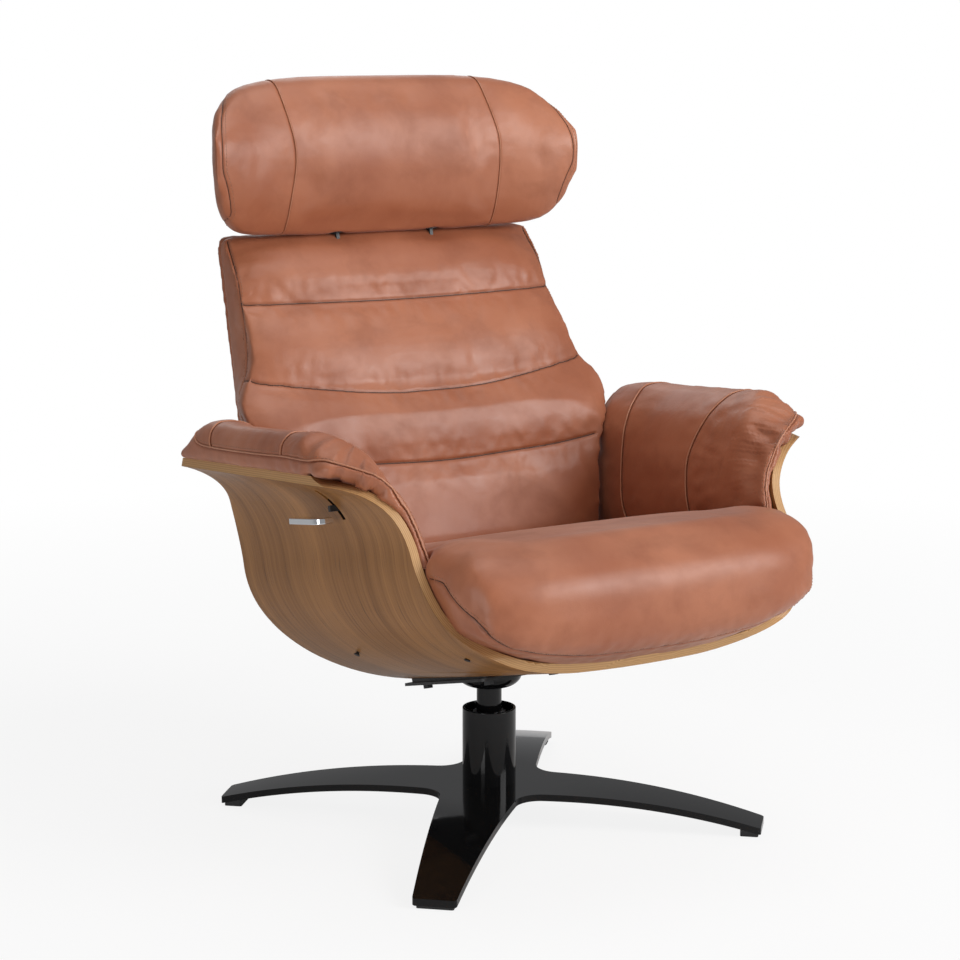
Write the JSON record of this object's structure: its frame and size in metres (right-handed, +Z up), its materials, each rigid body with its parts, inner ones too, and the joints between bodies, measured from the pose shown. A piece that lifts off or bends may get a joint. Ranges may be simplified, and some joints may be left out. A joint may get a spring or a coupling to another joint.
{
  "type": "swivel recliner",
  "caption": "Reclining lounge chair: bent wood shell with padded arms, sliding seat, reclining channelled back and tilting bolster headrest on a swivelling star base.",
  "frame": {"origin": "on the floor, under the middle of the whole chair; the swivel axis is 28.5 mm behind it, at Y = +0.0285 m", "axes": "+Z up, the seat faces -Y, +X is to the sitter's left"},
  "size_m": [0.7732, 0.809, 1.031],
  "materials": {
    "gloss_black_steel": "high gloss black paint",
    "satin_black_steel": "satin black paint",
    "black_plastic": "fine matt",
    "pale_nylon": "satin nylon",
    "bright_steel": "bright zinc",
    "chrome_plate": "polished chrome",
    "walnut_ply": "satin lacquered walnut face on pale laminations",
    "pale_ply": "plain sanded plywood",
    "leather": "aniline leather, caramel brown, soft sheen"
  },
  "bodies": {
    "base": {"star_base": "gloss_black_steel", "leg_glides": "black_plastic", "column_tube": "gloss_black_steel", "upper_bush": "black_plastic", "lower_bush": "black_plastic", "thrust_bearing": "bright_steel", "column_plug": "black_plastic"},
    "carrier": {"swivel_shaft": "gloss_black_steel", "shaft_clip": "bright_steel", "dome_cover": "gloss_black_steel", "swivel_plate": "satin_black_steel", "plate_saddle": "satin_black_steel", "clamp_plate": "satin_black_steel", "plate_bolts": "satin_black_steel", "plate_nuts": "bright_steel", "seat_shell": "walnut_ply", "arm_pad_right": "leather", "arm_pad_left": "leather", "front_strap": "satin_black_steel", "rear_strap": "satin_black_steel", "strap_screws": "satin_black_steel", "side_rail_right": "satin_black_steel", "side_rail_left": "satin_black_steel", "pivot_pins": "bright_steel", "pivot_washers": "pale_nylon", "front_cross_rod": "bright_steel", "lever_bracket": "satin_black_steel", "lever_pin": "bright_steel"},
    "seat": {"seat_pan": "pale_ply", "seat_glides": "pale_nylon", "seat_cushion": "leather"},
    "back": {"back_board": "pale_ply", "back_cushion": "leather", "back_cover": "leather", "hinge_plate_right": "satin_black_steel", "hinge_plate_left": "satin_black_steel", "back_cross_tube": "satin_black_steel", "gas_pin": "bright_steel", "hinge_screws": "bright_steel", "headrest_brackets": "satin_black_steel", "headrest_pins": "bright_steel"},
    "headrest": {"headrest_board": "pale_ply", "headrest_leaves": "satin_black_steel", "headrest_cushion": "leather"},
    "gas_cylinder": {"gas_spring_cylinder": "gloss_black_steel"},
    "gas_rod": {"gas_spring_rod": "chrome_plate"},
    "lever": {"lever_arm": "satin_black_steel", "lever_paddle": "chrome_plate"}
  },
  "joints": [
    {"name": "swivel", "type": "hinge", "parent": "base", "child": "carrier", "pos_m": [0, 0.0285, 0.15], "axis": [0, 0, 1], "continuous": true},
    {"name": "recline", "type": "hinge", "parent": "carrier", "child": "back", "pos_m": [0, 0.1335, 0.3], "axis": [-1, 0, 0], "range_deg": [0, 25]},
    {"name": "seat_slide", "type": "slide", "parent": "carrier", "child": "seat", "axis": [0, -0.9673, 0.2538], "range_m": [0, 0.0452]},
    {"name": "headrest_tilt", "type": "hinge", "parent": "back", "child": "headrest", "pos_m": [0, 0.3365, 0.824], "axis": [-1, 0, 0], "range_deg": [-20, 8]},
    {"name": "gas_tilt", "type": "hinge", "parent": "carrier", "child": "gas_cylinder", "pos_m": [0, -0.10492, 0.28956], "axis": [1, 0, 0], "range_deg": [0, 0.85]},
    {"name": "gas_stroke", "type": "slide", "parent": "gas_cylinder", "child": "gas_rod", "axis": [0, -0.9656, 0.2602], "range_m": [0, 0.0316]},
    {"name": "lever_lift", "type": "hinge", "parent": "carrier", "child": "lever", "pos_m": [-0.2845, -0.04389, 0.49065], "axis": [-1, 0, 0], "range_deg": [0, 16], "stiffness_Nm_per_rad": 0.6, "springref_deg": -20.05}
  ],
  "couplings": [
    {"joint": "seat_slide", "follows": "recline", "m_per_rad": 0.1031},
    {"joint": "gas_tilt", "follows": "recline", "ratio": 0.0326},
    {"joint": "gas_stroke", "follows": "recline", "m_per_rad": 0.071757}
  ]
}
